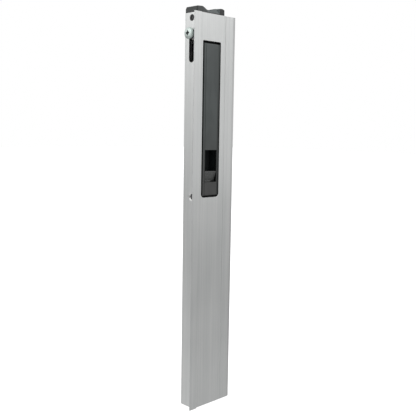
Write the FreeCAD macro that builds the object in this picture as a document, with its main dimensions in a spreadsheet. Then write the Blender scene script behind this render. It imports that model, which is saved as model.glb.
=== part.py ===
import FreeCAD, Part
import math
import os
import Sketcher
from FreeCAD import Placement, Rotation, Vector

# Slide-operated flush bolt in an extruded aluminium housing.
# +Z runs up the housing and Z 0 is its plain-cut lower end. X 0 is the bolt's centre line.
# Y 0 is the main front face and +Y goes back into the door edge. Left is -X, right is +X.

DIMENSIONS = dict(
    # housing extrusion
    overall_length=304.8, half_width=14.5, body_depth=14.6,
    plate_thk=1.8, wall_thk=1.6, back_wall=2.2,
    lip_outer=19.5, lip_inner=11.9, lip_raise=1.05, lip_back=0.25, lip_tip=0.6,
    flange_edge=25.2, groove_half=0.3, groove_depth=0.17,
    bevel_start=22.8, bevel_drop=0.38,
    corner_rad=0.3, edge_rad=0.2, strip_rad=0.5,
    # window for the slide escutcheon
    window_half=9.3, window_low=166.7, window_high=284.5,
    window_low_rad=2.8, window_high_rad=0.7, window_edge=0.2,
    # left wall: adjusting slot, cap rivet hole, fixing hole
    axis_depth=7.1, slot_width=5.6, slot_low=271.0, slot_high=290.0,
    fix_hole_dia=4.8, fix_hole_depth=4.9, fix_hole_height=167.3, fix_hole_edge=0.9,
    rivet_dia=4.8, rivet_height=301.0, rivet_inner=7.0,
    # end cap
    cap_front=1.85, cap_floor=2.6, cap_left_top=4.75, cap_right_top=5.0, cap_corner_rad=0.9,
    plug_gap=0.2, plug_depth=8.0, cap_hole_dia=8.5, bush_seat_rise=1.6,
    # bolt, rod, bushing and lock nut
    bolt_dia=8.0, bolt_top=306.8, bolt_length=44.8, nose_len=1.6,
    bush_outer=9.4, bush_bore=8.16, bush_rise=1.4,
    rod_dia=6.0, rod_top=290.0, rod_shoulder=225.4, rod_thread_dia=5.0, rod_low=208.2,
    tip_pin_dia=3.0, tip_pin_height=267.2, lock_nut_half=4.0, lock_nut_thk=3.2,
    # escutcheon
    esc_half=9.0, esc_low=167.5, esc_high=282.8, esc_back=12.2,
    land_left=5.85, land_right=6.65, land_proud=0.05, land_step=0.14,
    rim_left=7.85, rim_left_set=0.2, rim_right=9.0, rim_right_set=0.4, rim_edge=0.95,
    shoulder=1.4, esc_inner=7.4, esc_front_in=2.2, esc_low_rad=2.5, esc_high_rad=0.6,
    end_block=8.0, opening_low=178.3, opening_high=203.0, opening_rad=0.3, esc_bevel=1.1,
    barb_reach=0.75, barb_long=8.0, barb_rise=12.0,
    # rod guide block and its screws
    guide_low=274.0, guide_high=281.6, guide_half=7.3, guide_bore=8.2,
    guide_screw_rise=4.3, guide_screw_hole=2.7, guide_sink=0.95, guide_screw_reach=4.15,
    # thumb slide and carriage
    pad_half=5.75, pad_right=6.5, pad_low=178.45, pad_high=186.65, pad_front=0.1,
    pad_deep=2.9, pad_back=4.2, pad_edge_rad=0.4,
    stem_half=4.4, stem_low=179.6, stem_high=186.2, stem_back=8.0,
    thumb_screw_side=2.4, thumb_screw_height=182.9, pilot_dia=2.24,
    car_half=7.2, car_front=2.4, car_back=12.2, car_low=176.6, car_high=222.0,
    pocket_half=6.0, pocket_right=6.65, pocket_high=206.0, pocket_back=8.2,
    spring_half=4.0, spring_low=189.6, spring_high=215.6, spring_floor=10.3,
    spring_thk=0.4, spring_rise=1.64, spring_tab=4.6, spring_gap=0.01,
    spring_rivet_height=191.6,
    # adjusting screw, washer and nut
    screw_dia=4.8, screw_height=289.4, head_dia=8.7, head_high=2.4, screw_end=9.4,
    stand_off=2.1, washer_outer=9.0, washer_bore=6.6, washer_thk=0.5,
    nut_side=9.5, nut_thk=2.8, nut_bore=4.9, nut_corner=0.5,
)

OVER = 1.0  # how far cutting tools run clear of the material
LAP = 0.5   # overlap that joins one pad to the one before


class Length:
    """A value together with the spreadsheet expression that gives it."""

    def __init__(self, value, text):
        self.value = float(value)
        self.text = text

    @staticmethod
    def of(number):
        if isinstance(number, Length):
            return number
        return Length(number, f"({float(number)!r})")

    def __add__(self, other):
        other = Length.of(other)
        return Length(self.value + other.value, f"({self.text} + {other.text})")

    def __sub__(self, other):
        other = Length.of(other)
        return Length(self.value - other.value, f"({self.text} - {other.text})")

    def __mul__(self, other):
        other = Length.of(other)
        return Length(self.value * other.value, f"({self.text} * {other.text})")

    def __truediv__(self, other):
        other = Length.of(other)
        return Length(self.value / other.value, f"({self.text} / {other.text})")

    def __rsub__(self, other):
        return Length.of(other) - self

    def __neg__(self):
        return 0 - self

    __radd__ = __add__
    __rmul__ = __mul__


class Dimensions:
    """Each spreadsheet alias as an attribute holding its Length."""

    def __init__(self, sheet, values):
        for row, (alias, value) in enumerate(values.items(), start=1):
            sheet.set(f"A{row}", alias)
            sheet.set(f"B{row}", repr(value))
            sheet.setAlias(f"B{row}", alias)
            setattr(self, alias, Length(value, "Dims." + alias))


doc = FreeCAD.newDocument("flush_bolt")
dim = Dimensions(doc.addObject("Spreadsheet::Sheet", "Dims"), DIMENSIONS)
doc.recompute()


# ---------------------------------------------------------------- sketches
def new_body(name):
    body = doc.addObject("PartDesign::Body", name)
    body.Label = name
    return body


def origin(body, role):
    """The body's own plane or axis with this role."""
    return next(f for f in body.Origin.OriginFeatures if f.Role == role)


def sketch_on(body, name, role, offset=None):
    """Offsets run along +Z on XY_Plane, +X on YZ_Plane and -Y on XZ_Plane."""
    sketch = body.newObject("Sketcher::SketchObject", name)
    sketch.AttachmentSupport = (origin(body, role), [""])
    sketch.MapMode = "FlatFace"
    if offset is not None:
        offset = Length.of(offset)
        sketch.AttachmentOffset = Placement(Vector(0, 0, offset.value), Rotation())
        sketch.setExpression("AttachmentOffset.Base.z", offset.text)
    return sketch


def drive(sketch, kind, length, *where):
    """Adds a dimension that follows the spreadsheet."""
    length = Length.of(length)
    index = sketch.addConstraint(Sketcher.Constraint(kind, *where, length.value))
    sketch.renameConstraint(index, f"c{index}")
    sketch.setExpression(f"Constraints.c{index}", length.text)


def pin_point(sketch, geo, pos, x, y):
    """Holds one point of a sketch at its coordinates."""
    for kind, length, axis in (("DistanceX", x, -2), ("DistanceY", y, -1)):
        if abs(Length.of(length).value) < 1e-9:
            sketch.addConstraint(Sketcher.Constraint("PointOnObject", geo, pos, axis))
        else:
            drive(sketch, kind, length, -1, 1, geo, pos)


def add_line(sketch, start, end):
    ends = [Vector(Length.of(x).value, Length.of(y).value, 0) for x, y in (start, end)]
    return sketch.addGeometry(Part.LineSegment(*ends), False)


def add_arc(sketch, x, y, radius, start, end):
    x, y, radius = [Length.of(n).value for n in (x, y, radius)]
    full = Part.Circle(Vector(x, y, 0), Vector(0, 0, 1), radius)
    return sketch.addGeometry(Part.ArcOfCircle(full, start, end), False)


def polygon(sketch, points):
    first = sketch.GeometryCount
    count = len(points)
    for i in range(count):
        add_line(sketch, points[i], points[(i + 1) % count])
    for i in range(count):
        sketch.addConstraint(
            Sketcher.Constraint("Coincident", first + i, 2, first + (i + 1) % count, 1))
    for i, (x, y) in enumerate(points):
        pin_point(sketch, first + i, 1, x, y)


def rectangle(sketch, x0, y0, x1, y1):
    polygon(sketch, [(x0, y0), (x1, y0), (x1, y1), (x0, y1)])


def circle(sketch, x, y, radius):
    centre = Vector(Length.of(x).value, Length.of(y).value, 0)
    round_edge = Part.Circle(centre, Vector(0, 0, 1), Length.of(radius).value)
    geo = sketch.addGeometry(round_edge, False)
    pin_point(sketch, geo, 3, x, y)
    drive(sketch, "Radius", radius, geo)


def slot(sketch, x, y0, y1, radius):
    """Round-ended slot along the sketch's vertical."""
    upper = add_arc(sketch, x, y1, radius, 0, math.pi)
    lower = add_arc(sketch, x, y0, radius, math.pi, 2 * math.pi)
    left = add_line(sketch, (x - radius, y1), (x - radius, y0))
    right = add_line(sketch, (x + radius, y0), (x + radius, y1))
    for one, other in ((upper, left), (left, lower), (lower, right), (right, upper)):
        sketch.addConstraint(Sketcher.Constraint("Tangent", one, 2, other, 1))
    pin_point(sketch, upper, 3, x, y1)
    pin_point(sketch, lower, 3, x, y0)
    drive(sketch, "Radius", radius, upper)


def rounded_box(sketch, x0, y0, x1, y1, low, high):
    """Rectangle with radius low on its lower corners and high on its upper ones."""
    quarter = math.pi / 2
    corners = [  # centre x, centre y, radius, anticlockwise from the upper right
        (x1 - high, y1 - high, high), (x0 + high, y1 - high, high),
        (x0 + low, y0 + low, low), (x1 - low, y0 + low, low),
    ]
    arcs = [add_arc(sketch, *corner, k * quarter, (k + 1) * quarter)
            for k, corner in enumerate(corners)]
    sides = [
        ((x1 - high, y1), (x0 + high, y1)), ((x0, y1 - high), (x0, y0 + low)),
        ((x0 + low, y0), (x1 - low, y0)), ((x1, y0 + low), (x1, y1 - high)),
    ]
    lines = [add_line(sketch, *side) for side in sides]
    for k in range(4):
        sketch.addConstraint(Sketcher.Constraint("Tangent", arcs[k], 2, lines[k], 1))
        sketch.addConstraint(Sketcher.Constraint("Tangent", lines[k], 2, arcs[(k + 1) % 4], 1))
    for arc, (x, y, _) in zip(arcs, corners):
        pin_point(sketch, arc, 3, x, y)
    drive(sketch, "Radius", high, arcs[0])
    drive(sketch, "Radius", low, arcs[2])


# ---------------------------------------------------------------- features
def set_length(feature, prop, length):
    length = Length.of(length)
    setattr(feature, prop, length.value)
    feature.setExpression(prop, length.text)


def finish(body, feature, before):
    """Makes a sketch-based feature the tip, and stops if it changed nothing."""
    body.Tip = feature
    doc.recompute()
    if not abs(feature.Shape.Volume - before) > 1e-6:
        raise RuntimeError(feature.Name + " changed nothing")
    return feature


def tip_volume(body):
    return body.Tip.Shape.Volume if body.Tip else 0


def extrude(body, kind, sketch, length, reverse):
    before = tip_volume(body)
    feature = body.newObject("PartDesign::" + kind, sketch.Name + kind)
    feature.Profile = sketch
    set_length(feature, "Length", length)
    feature.Reversed = reverse
    return finish(body, feature, before)


def pad(body, sketch, length, reverse=False):
    """Adds material along the sketch's normal."""
    return extrude(body, "Pad", sketch, length, reverse)


def pocket(body, sketch, length, reverse=False):
    """Cuts against the sketch's normal."""
    return extrude(body, "Pocket", sketch, length, reverse)


def revolve(body, sketch, kind="Revolution"):
    """Turns a profile about the sketch's vertical axis."""
    before = tip_volume(body)
    feature = body.newObject("PartDesign::" + kind, sketch.Name + "Rev")
    feature.Profile = sketch
    feature.ReferenceAxis = (sketch, ["V_Axis"])
    feature.Angle = 360.0
    finish(body, feature, before)


def repeat(body, kind, name, feature, count, **settings):
    """Makes a linear or polar pattern of one feature."""
    pattern = body.newObject("PartDesign::" + kind, name)
    pattern.Originals = [feature]
    for prop, value in settings.items():
        setattr(pattern, prop, value)
    pattern.Occurrences = count
    body.Tip = pattern
    doc.recompute()


def dress(body, kind, size, test, name):
    """Fillets or chamfers the tip's edges that pass a test."""
    base = body.Tip
    names = [f"Edge{i}" for i, edge in enumerate(base.Shape.Edges, start=1) if test(edge)]
    if not names:
        raise RuntimeError("no edges for " + name)
    feature = body.newObject("PartDesign::" + kind, name)
    feature.Base = (base, names)
    set_length(feature, "Radius" if kind == "Fillet" else "Size", size)
    body.Tip = feature
    doc.recompute()
    if feature.Shape.isNull() or not feature.Shape.isValid():
        raise RuntimeError("bad " + name)


# ---------------------------------------------------------------- edge tests
def near(number, target, tol=1e-3):
    return abs(number - Length.of(target).value) < tol


def along(edge, axis, tol=1e-4):
    """True for a straight edge parallel to one axis."""
    if len(edge.Vertexes) != 2 or not isinstance(edge.Curve, Part.Line):
        return False
    run = edge.Vertexes[1].Point - edge.Vertexes[0].Point
    return all((abs(getattr(run, c)) > tol) if c == axis else (abs(getattr(run, c)) < tol)
               for c in "xyz")


def upright_at(points):
    """Test for edges along Z that stand at one of these (x, y) points."""
    def test(edge):
        if not along(edge, "z"):
            return False
        foot = edge.Vertexes[0].Point
        return any(near(foot.x, x) and near(foot.y, y) for x, y in points)
    return test


def rim_at(radius, x, z):
    """Test for circular edges of this radius, centred at this x and z."""
    def test(edge):
        return (isinstance(edge.Curve, Part.Circle) and near(edge.Curve.Radius, radius, 1e-4)
                and near(edge.CenterOfMass.x, x) and near(edge.CenterOfMass.z, z, 0.01))
    return test


# ---------------------------------------------------------------- placing and turning
TO_LEFT = Rotation(Vector(0, 1, 0), -90)   # a part's own +Z points to -X
TO_RIGHT = Rotation(Vector(0, 1, 0), 90)   # a part's own +Z points to +X
TO_BACK = Rotation(Vector(1, 0, 0), -90)   # a part's own +Z points to +Y


def place(body, x=0, y=0, z=0, turn=None):
    spot = [Length.of(n) for n in (x, y, z)]
    body.Placement = Placement(Vector(*[n.value for n in spot]), turn or Rotation())
    for axis, length in zip("xyz", spot):
        body.setExpression("Placement.Base." + axis, length.text)


def turned(name, points, x=0, y=0, z=0, turn=None):
    """A part turned about its own Z from (radius, height) points."""
    body = new_body(name)
    sketch = sketch_on(body, name + "_profile", "XZ_Plane")
    polygon(sketch, points)
    revolve(body, sketch)
    place(body, x, y, z, turn)
    return body


def thread(crest, root, first, last, pitch, flanks):
    """Profile points of separate grooves from first towards last.

    flanks holds the heights within one groove: crest, root, root, crest.
    """
    radii = (crest, root, root, crest)
    count = math.ceil((last - first) / pitch)
    return [(radius, first + pitch * k + rise)
            for k in range(count) for radius, rise in zip(radii, flanks)]


def group(name, members):
    compound = doc.addObject("Part::Compound", name)
    compound.Label = name
    compound.Links = members
    doc.recompute()
    return compound


# ---------------------------------------------------------------- housing
def make_housing():
    """One extrusion with a window in front and cuts in the left wall.

    A box stands behind a wider front plate. A raised strip overhangs the left side, a V line
    marks where the right wall meets the plate, and the right flange edge is bevelled.
    """
    body = new_body("housing")
    half, depth, plate = dim.half_width, dim.body_depth, dim.plate_thk
    strip_in, strip_out, flange = -dim.lip_inner, -dim.lip_outer, dim.flange_edge
    inner, cavity_back = half - dim.wall_thk, depth - dim.back_wall

    section = sketch_on(body, "housing_section", "XY_Plane")
    polygon(section, [
        (strip_out, -dim.lip_raise), (strip_in, -dim.lip_raise), (strip_in, 0),
        (half - dim.groove_half, 0), (half, dim.groove_depth), (half + dim.groove_half, 0),
        (dim.bevel_start, 0), (flange, dim.bevel_drop), (flange, plate),
        (half, plate), (half, depth), (-half, depth), (-half, dim.lip_back),
        (strip_out, -dim.lip_tip),
    ])
    rectangle(section, -inner, plate, inner, cavity_back)
    pad(body, section, dim.overall_length)
    dress(body, "Fillet", dim.corner_rad, upright_at([
        (half, depth), (-half, depth), (half, plate), (inner, plate), (-inner, plate),
        (inner, cavity_back), (-inner, cavity_back),
    ]), "housing_corners")
    dress(body, "Fillet", dim.edge_rad, upright_at([
        (strip_out, -dim.lip_raise), (strip_out, -dim.lip_tip),
        (flange, plate), (flange, dim.bevel_drop),
    ]), "housing_edges")
    dress(body, "Fillet", dim.strip_rad, upright_at([(strip_in, -dim.lip_raise)]),
          "housing_strip_edge")

    wide, low, high = dim.window_half, dim.window_low, dim.window_high
    window = sketch_on(body, "housing_window", "XZ_Plane")
    rounded_box(window, -wide, low, wide, high, dim.window_low_rad, dim.window_high_rad)
    pocket(body, window, plate + OVER)

    def on_window(edge):
        return near(edge.CenterOfMass.y, 0, 1e-4) and all(
            near(v.Point.y, 0, 1e-4) and abs(v.Point.x) < wide.value + 1e-3
            and low.value - 1e-3 < v.Point.z < high.value + 1e-3 for v in edge.Vertexes)
    dress(body, "Chamfer", dim.window_edge, on_window, "housing_window_edge")

    side = sketch_on(body, "housing_side_cuts", "YZ_Plane", -inner + OVER)
    slot(side, dim.axis_depth, dim.slot_low, dim.slot_high, dim.slot_width / 2)
    circle(side, dim.axis_depth, dim.rivet_height, dim.rivet_dia / 2 + 0.05)
    circle(side, dim.fix_hole_depth, dim.fix_hole_height, dim.fix_hole_dia / 2)
    pocket(body, side, dim.wall_thk + 2 * OVER)
    dress(body, "Chamfer", dim.fix_hole_edge,
          rim_at(dim.fix_hole_dia / 2, -half, dim.fix_hole_height), "housing_hole_edge")
    return body


# ---------------------------------------------------------------- end cap
# Cap outline seen from the front, right to left: (x, height above that zone's level).
CAP_RIGHT_LOBE = [
    (dim.half_width, -0.65), (13.7, -0.12), (12.3, 0.22), (10.9, 0.2),
    (6.4, -0.3), (4.6, -0.64), (2.7, -1.08), (2.1, -1.38),
]
CAP_VALLEY = [(1.5, 0.4), (0.4, 0.15), (-3.6, 0.02), (-4.5, 0.15), (-6.6, 1.32)]
CAP_LEFT_LOBE = [
    (-7.4, -0.42), (-8.3, -0.08), (-9.2, 0), (-12.4, -0.18), (-13.8, -0.3),
    (-dim.half_width, -0.48),
]
# Bevel cutters seen from the side: (y from the back or front face, height above the housing).
CAP_REAR_BEVEL = [
    (-3.6, 5.8), (1.0, 5.8), (1.0, 0.9), (0, 1.6), (-0.6, 3.1), (-1.6, 4.2), (-2.9, 4.65),
]
CAP_FRONT_BEVEL = [(-0.5, 1.5), (0, 1.5), (1.9, 6.0), (-0.5, 6.0)]


def make_end_cap():
    """A saddle with a low valley round the bolt, on a plug that fills the top of the box."""
    body = new_body("end_cap")
    half, depth, front = dim.half_width, dim.body_depth, dim.cap_front
    top, plug, bolt_y = dim.overall_length, dim.plug_depth, dim.axis_depth
    below_plug = top - plug - OVER

    outline = [(-half, top), (half, top)]
    for level, points in ((dim.cap_right_top, CAP_RIGHT_LOBE), (dim.cap_floor, CAP_VALLEY),
                          (dim.cap_left_top, CAP_LEFT_LOBE)):
        outline += [(x, top + level + rise) for x, rise in points]
    sketch = sketch_on(body, "cap_profile", "XZ_Plane", -front)
    polygon(sketch, outline)
    pad(body, sketch, depth - front, reverse=True)

    for name, points, face, start, length in (
            ("cap_rear_bevel", CAP_REAR_BEVEL, depth, -half - OVER, 2 * (half + OVER)),
            ("cap_front_bevel", CAP_FRONT_BEVEL, front, -3.6, 12.2)):
        sketch = sketch_on(body, name, "YZ_Plane", start)
        polygon(sketch, [(face + y, top + z) for y, z in points])
        pocket(body, sketch, length, reverse=True)
    dress(body, "Fillet", dim.cap_corner_rad,
          lambda edge: along(edge, "z") and near(edge.Vertexes[0].Point.x, -half),
          "cap_left_corners")

    gap = dim.plug_gap
    plug_half = half - dim.wall_thk - gap
    sketch = sketch_on(body, "cap_plug", "XY_Plane", top)
    rectangle(sketch, -plug_half, dim.plate_thk + gap, plug_half, depth - dim.back_wall - gap)
    pad(body, sketch, plug, reverse=True)
    sketch = sketch_on(body, "cap_bolt_hole", "XY_Plane", top + dim.cap_right_top + OVER)
    circle(sketch, 0, bolt_y, dim.cap_hole_dia / 2)
    pocket(body, sketch, dim.cap_right_top + plug + 2 * OVER)
    sketch = sketch_on(body, "cap_bush_seat", "XY_Plane", below_plug)
    circle(sketch, 0, bolt_y, dim.bush_outer / 2 + 0.02)
    pocket(body, sketch, OVER + plug + dim.bush_seat_rise, reverse=True)
    sketch = sketch_on(body, "cap_rivet_hole", "YZ_Plane", -dim.rivet_inner)
    circle(sketch, bolt_y, dim.rivet_height, dim.rivet_dia / 2 + 0.03)
    pocket(body, sketch, half - dim.rivet_inner)

    # square-cornered recess, 6 deep, in the right of the plug's underside
    sketch = sketch_on(body, "cap_core", "XY_Plane", below_plug)
    rectangle(sketch, 6.4, 3.6, 11.2, 10.6)
    pocket(body, sketch, OVER + 6.0, reverse=True)
    return body


def make_bushing():
    """Plain bushing that guides the bolt through the cap."""
    bore, outer = dim.bush_bore / 2, dim.bush_outer / 2
    height = dim.plug_depth + dim.bush_rise
    return turned("bolt_bushing", [
        (bore, 0), (outer - 0.4, 0), (outer, 0.4), (outer, height), (bore, height),
    ], y=dim.axis_depth, z=dim.overall_length - dim.plug_depth)


def make_cap_rivet():
    """Outer piece of the drive rivet through the left wall into the cap's plug."""
    radius = dim.rivet_dia / 2
    return turned("cap_rivet", [
        (1.02, 0), (radius - 0.5, 0), (radius, 0.8), (radius, 7.25), (radius - 0.25, 7.5),
        (1.5, 7.5), (1.02, 7.0),
    ], x=-(dim.rivet_inner + 0.05), y=dim.axis_depth, z=dim.rivet_height, turn=TO_LEFT)


def make_cap_rivet_pin():
    return turned("cap_rivet_pin", [
        (0, 0), (0.6, 0), (1.0, 0.6), (1.0, 6.55), (0.8, 6.75), (0, 6.85),
    ], x=-(dim.rivet_inner + 0.2), y=dim.axis_depth, z=dim.rivet_height, turn=TO_LEFT)


# ---------------------------------------------------------------- escutcheon
def make_escutcheon():
    """Moulded channel that fills the window.

    In front is a flat land between two lower sloping rails, with the finger opening.
    Behind are side walls and a lower end block.
    """
    body = new_body("escutcheon")
    half, low, high, back = dim.esc_half, dim.esc_low, dim.esc_high, dim.esc_back
    inner, floor, land = dim.esc_inner, dim.esc_front_in, -dim.land_proud
    left, right, shoulder = dim.land_left, dim.land_right, dim.shoulder
    rim_left, rim_right = dim.rim_left, dim.rim_right

    sketch = sketch_on(body, "esc_section", "XY_Plane", low)
    polygon(sketch, [
        (-half, back), (-half, shoulder + 0.2), (-rim_left, shoulder),
        (-rim_left, dim.rim_left_set + 0.25), (-(rim_left - 0.25), dim.rim_left_set),
        (-(left + 0.05), dim.land_step), (-left, land),
        (right, land), (right + 0.05, dim.land_step),
        (rim_right - 0.25, dim.rim_right_set), (rim_right, dim.rim_right_set + 0.25),
        (rim_right, shoulder), (half, shoulder + 0.2), (half, back),
        (inner, back), (inner, floor), (-inner, floor), (-inner, back),
    ])
    pad(body, sketch, high - low)
    sketch = sketch_on(body, "esc_end_block", "XY_Plane", low)
    rectangle(sketch, -(inner + LAP), floor - LAP, inner + LAP, back)
    pad(body, sketch, dim.end_block)

    # trim to the round-cornered front outline
    sketch = sketch_on(body, "esc_outline", "XZ_Plane", OVER)
    rectangle(sketch, -(half + OVER), low - OVER, half + OVER, high + OVER)
    rounded_box(sketch, -half, low, half, high, dim.esc_low_rad, dim.esc_high_rad)
    pocket(body, sketch, back + 2 * OVER)

    low_bevel_top = low + dim.esc_bevel
    high_bevel_foot = high - dim.esc_bevel * 0.74
    sketch = sketch_on(body, "esc_end_bevels", "YZ_Plane", -(half + OVER))
    polygon(sketch, [
        (-OVER, low - OVER), (dim.rim_edge, low - OVER), (dim.rim_edge, low),
        (land, low_bevel_top), (-OVER, low_bevel_top),
    ])
    polygon(sketch, [
        (-OVER, high + OVER), (-OVER, high_bevel_foot), (land, high_bevel_foot),
        (land + 0.5, high), (land + 0.5, high + OVER),
    ])
    pocket(body, sketch, (half + OVER) * 2, reverse=True)
    sketch = sketch_on(body, "esc_opening", "XZ_Plane", OVER)
    rounded_box(sketch, -left, dim.opening_low, right, dim.opening_high,
                dim.opening_rad, dim.opening_rad)
    pocket(body, sketch, floor + 2 * OVER)

    # hooks behind the plate: start z, half width, back beyond the plate, length
    for name, start, hook_half, hook_back, length in (
            ("esc_top_hook", high - 1.0, 7.0, 1.05, 5.6),
            ("esc_low_hook", low - 3.4, 6.2, 1.5, 4.4)):
        sketch = sketch_on(body, name, "XY_Plane", start)
        rectangle(sketch, -hook_half, dim.plate_thk + 0.12,
                  hook_half, dim.plate_thk + hook_back)
        pad(body, sketch, length)

    # three pairs of barbs up the side walls
    sketch = sketch_on(body, "esc_barbs", "XY_Plane", low + dim.barb_rise)
    root = half - 0.3
    for side in (1, -1):
        polygon(sketch, [
            (side * root, 2.0), (side * half, 2.0), (side * (half + dim.barb_reach), 2.05),
            (side * half, 4.6), (side * root, 4.6),
        ])
    barbs = pad(body, sketch, dim.barb_long)
    repeat(body, "LinearPattern", "esc_barb_row", barbs, 3,
           Direction=(origin(body, "Z_Axis"), [""]), Length=70.0)

    # countersunk holes for the guide block's screws
    radius, height = dim.guide_screw_hole / 2, dim.guide_low + dim.guide_screw_rise
    for side, name in ((-1, "left"), (1, "right")):
        sketch = sketch_on(body, "esc_screw_hole_" + name, "YZ_Plane", side * (half + OVER))
        circle(sketch, dim.axis_depth, height, radius)
        pocket(body, sketch, half - inner + 2 * OVER, reverse=side < 0)
        dress(body, "Chamfer", dim.guide_sink, rim_at(radius, side * half, height),
              "esc_sink_" + name)
    return body


def make_rod_guide():
    """Guide block at the top of the channel."""
    body = new_body("rod_guide")
    low, high, half = dim.guide_low, dim.guide_high, dim.guide_half
    sketch = sketch_on(body, "guide_block", "XY_Plane", low)
    rectangle(sketch, -half, dim.esc_front_in + 0.1, half, dim.esc_back - 0.05)
    pad(body, sketch, high - low)
    sketch = sketch_on(body, "guide_bore", "XY_Plane", high + OVER)
    circle(sketch, 0, dim.axis_depth, dim.guide_bore / 2)
    pocket(body, sketch, high - low + 2 * OVER)
    for side, name in ((-1, "left"), (1, "right")):
        sketch = sketch_on(body, "guide_screw_hole_" + name, "YZ_Plane", side * (half + OVER))
        circle(sketch, dim.axis_depth, low + dim.guide_screw_rise, dim.pilot_dia / 2)
        pocket(body, sketch, OVER + 2.45, reverse=side < 0)
    return body


def make_guide_screws():
    """Countersunk screws that hold the guide block between the channel's side walls."""
    profile = [
        (0, 0), (0.7, 0), (1.1, 0.4), (1.1, 2.85), (1.28, 2.86), (1.28, 3.15),
        (2.2, 4.07), (2.2, 4.12), (1.2, 4.12), (0.9, 3.6), (0, 3.4),
    ]
    offset = dim.esc_half - dim.guide_screw_reach
    height = dim.guide_low + dim.guide_screw_rise
    return group("rod_guide_screws", [
        turned("guide_screw_" + name, profile, side * offset, dim.axis_depth, height, turn)
        for side, name, turn in ((-1, "left", TO_LEFT), (1, "right", TO_RIGHT))])


# ---------------------------------------------------------------- thumb slide and carriage
def thumb_screw_circles(sketch, radius):
    for side in (-1, 1):
        circle(sketch, side * dim.thumb_screw_side, dim.thumb_screw_height, radius)


def make_thumb_slide():
    """A wedge, flush at its upper edge and sloping inwards to its lower edge.

    A fingertip pulls its upper edge down, and a thumb pushes up on its rows of small pips.
    """
    body = new_body("thumb_slide")
    front, deep, back = dim.pad_front, dim.pad_deep, dim.pad_back
    low, high, stem_back = dim.pad_low, dim.pad_high, dim.stem_back
    sketch = sketch_on(body, "thumb_wedge", "YZ_Plane", -dim.pad_half)
    polygon(sketch, [(front, high), (deep, low), (back, low), (back, high)])
    pad(body, sketch, dim.pad_half + dim.pad_right)
    sketch = sketch_on(body, "thumb_stem", "XZ_Plane", -(back - LAP))
    rectangle(sketch, -dim.stem_half, dim.stem_low, dim.stem_half, dim.stem_high)
    pad(body, sketch, stem_back - back + LAP, reverse=True)

    def upper_front(edge):
        return (along(edge, "x") and near(edge.Vertexes[0].Point.y, front)
                and near(edge.Vertexes[0].Point.z, high))
    dress(body, "Fillet", dim.pad_edge_rad, upper_front, "thumb_edge")

    # the pips start just inside the sloping face, on a sketch that leans with it
    lean = math.degrees(math.atan2((deep - front).value, (high - low).value))
    sketch = sketch_on(body, "thumb_pips", "XZ_Plane")
    sketch.AttachmentOffset = Placement(
        Vector(0, high.value, -front.value - 0.2), Rotation(Vector(1, 0, 0), lean))
    for row in range(5):
        for column in range(7):
            circle(sketch, -4.2 + 1.55 * column, -1.35 - 1.5 * row, 0.42)
    pad(body, sketch, 0.34)
    sketch = sketch_on(body, "thumb_screw_holes", "XZ_Plane", -(stem_back + OVER))
    thumb_screw_circles(sketch, dim.pilot_dia / 2)
    pocket(body, sketch, OVER + 4.4, reverse=True)
    return body


def make_carriage():
    """Carries the thumb slide and the rod, with a deep finger well above the pad."""
    body = new_body("slide_carriage")
    front, back, low, high = dim.car_front, dim.car_back, dim.car_low, dim.car_high
    seat, stem_back = dim.pad_back, dim.stem_back
    fit = 0.05  # clearance round the stem
    stem_half = dim.stem_half + fit
    spring_half = dim.spring_half + 0.2

    sketch = sketch_on(body, "car_block", "XY_Plane", low)
    rectangle(sketch, -dim.car_half, front, dim.car_half, back)
    pad(body, sketch, high - low)

    # cuts from the front: x0, z0, x1, z1, then their start and end in y
    pocket_left, pocket_right = -dim.pocket_half, dim.pocket_right
    for name, x0, z0, x1, z1, start, end in (
            ("car_pad_seat", pocket_left, low - OVER, pocket_right, dim.pad_high + 0.2,
             front - OVER, seat),
            ("car_finger_well", pocket_left, dim.pad_high + 0.1, pocket_right,
             dim.pocket_high, front - OVER, dim.pocket_back),
            ("car_stem_seat", -stem_half, dim.stem_low - fit, stem_half,
             dim.stem_high + fit, seat - OVER, stem_back + fit)):
        sketch = sketch_on(body, name, "XZ_Plane", -start)
        rectangle(sketch, x0, z0, x1, z1)
        pocket(body, sketch, end - start)

    # cuts from the back
    behind = back + OVER
    for name, radius, length in (("car_screw_holes", 1.25, behind - stem_back + 0.6),
                                 ("car_counterbores", 2.2, OVER + 1.77)):
        sketch = sketch_on(body, name, "XZ_Plane", -behind)
        thumb_screw_circles(sketch, radius)
        pocket(body, sketch, length, reverse=True)
    sketch = sketch_on(body, "car_spring_seat", "XZ_Plane", -behind)
    rectangle(sketch, -spring_half, dim.spring_low - 0.2, spring_half, dim.spring_high + 0.4)
    pocket(body, sketch, behind - dim.spring_floor, reverse=True)
    sketch = sketch_on(body, "car_rivet_hole", "XZ_Plane", -behind)
    circle(sketch, 0, dim.spring_rivet_height, 0.82)
    pocket(body, sketch, behind - dim.spring_floor + 1.8, reverse=True)

    sketch = sketch_on(body, "car_rod_hole", "XY_Plane", high + OVER)
    circle(sketch, 0, dim.axis_depth, dim.rod_thread_dia / 2 + 0.02)
    pocket(body, sketch, high + OVER - dim.rod_low + 0.3)
    return body


def make_thumb_screws():
    """Screws put in from behind to fasten the thumb slide to the carriage."""
    profile = [
        (0, 0), (0.7, 0), (1.1, 0.4), (1.1, 6.25), (2.05, 6.25), (2.05, 7.0),
        (1.6, 7.55), (0.9, 7.75), (0.9, 7.2), (0, 7.0),
    ]
    return group("thumb_slide_screws", [
        turned("thumb_screw_" + name, profile, side * dim.thumb_screw_side,
               dim.car_back - 8.0, dim.thumb_screw_height, TO_BACK)
        for side, name in ((-1, "left"), (1, "right"))])


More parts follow.
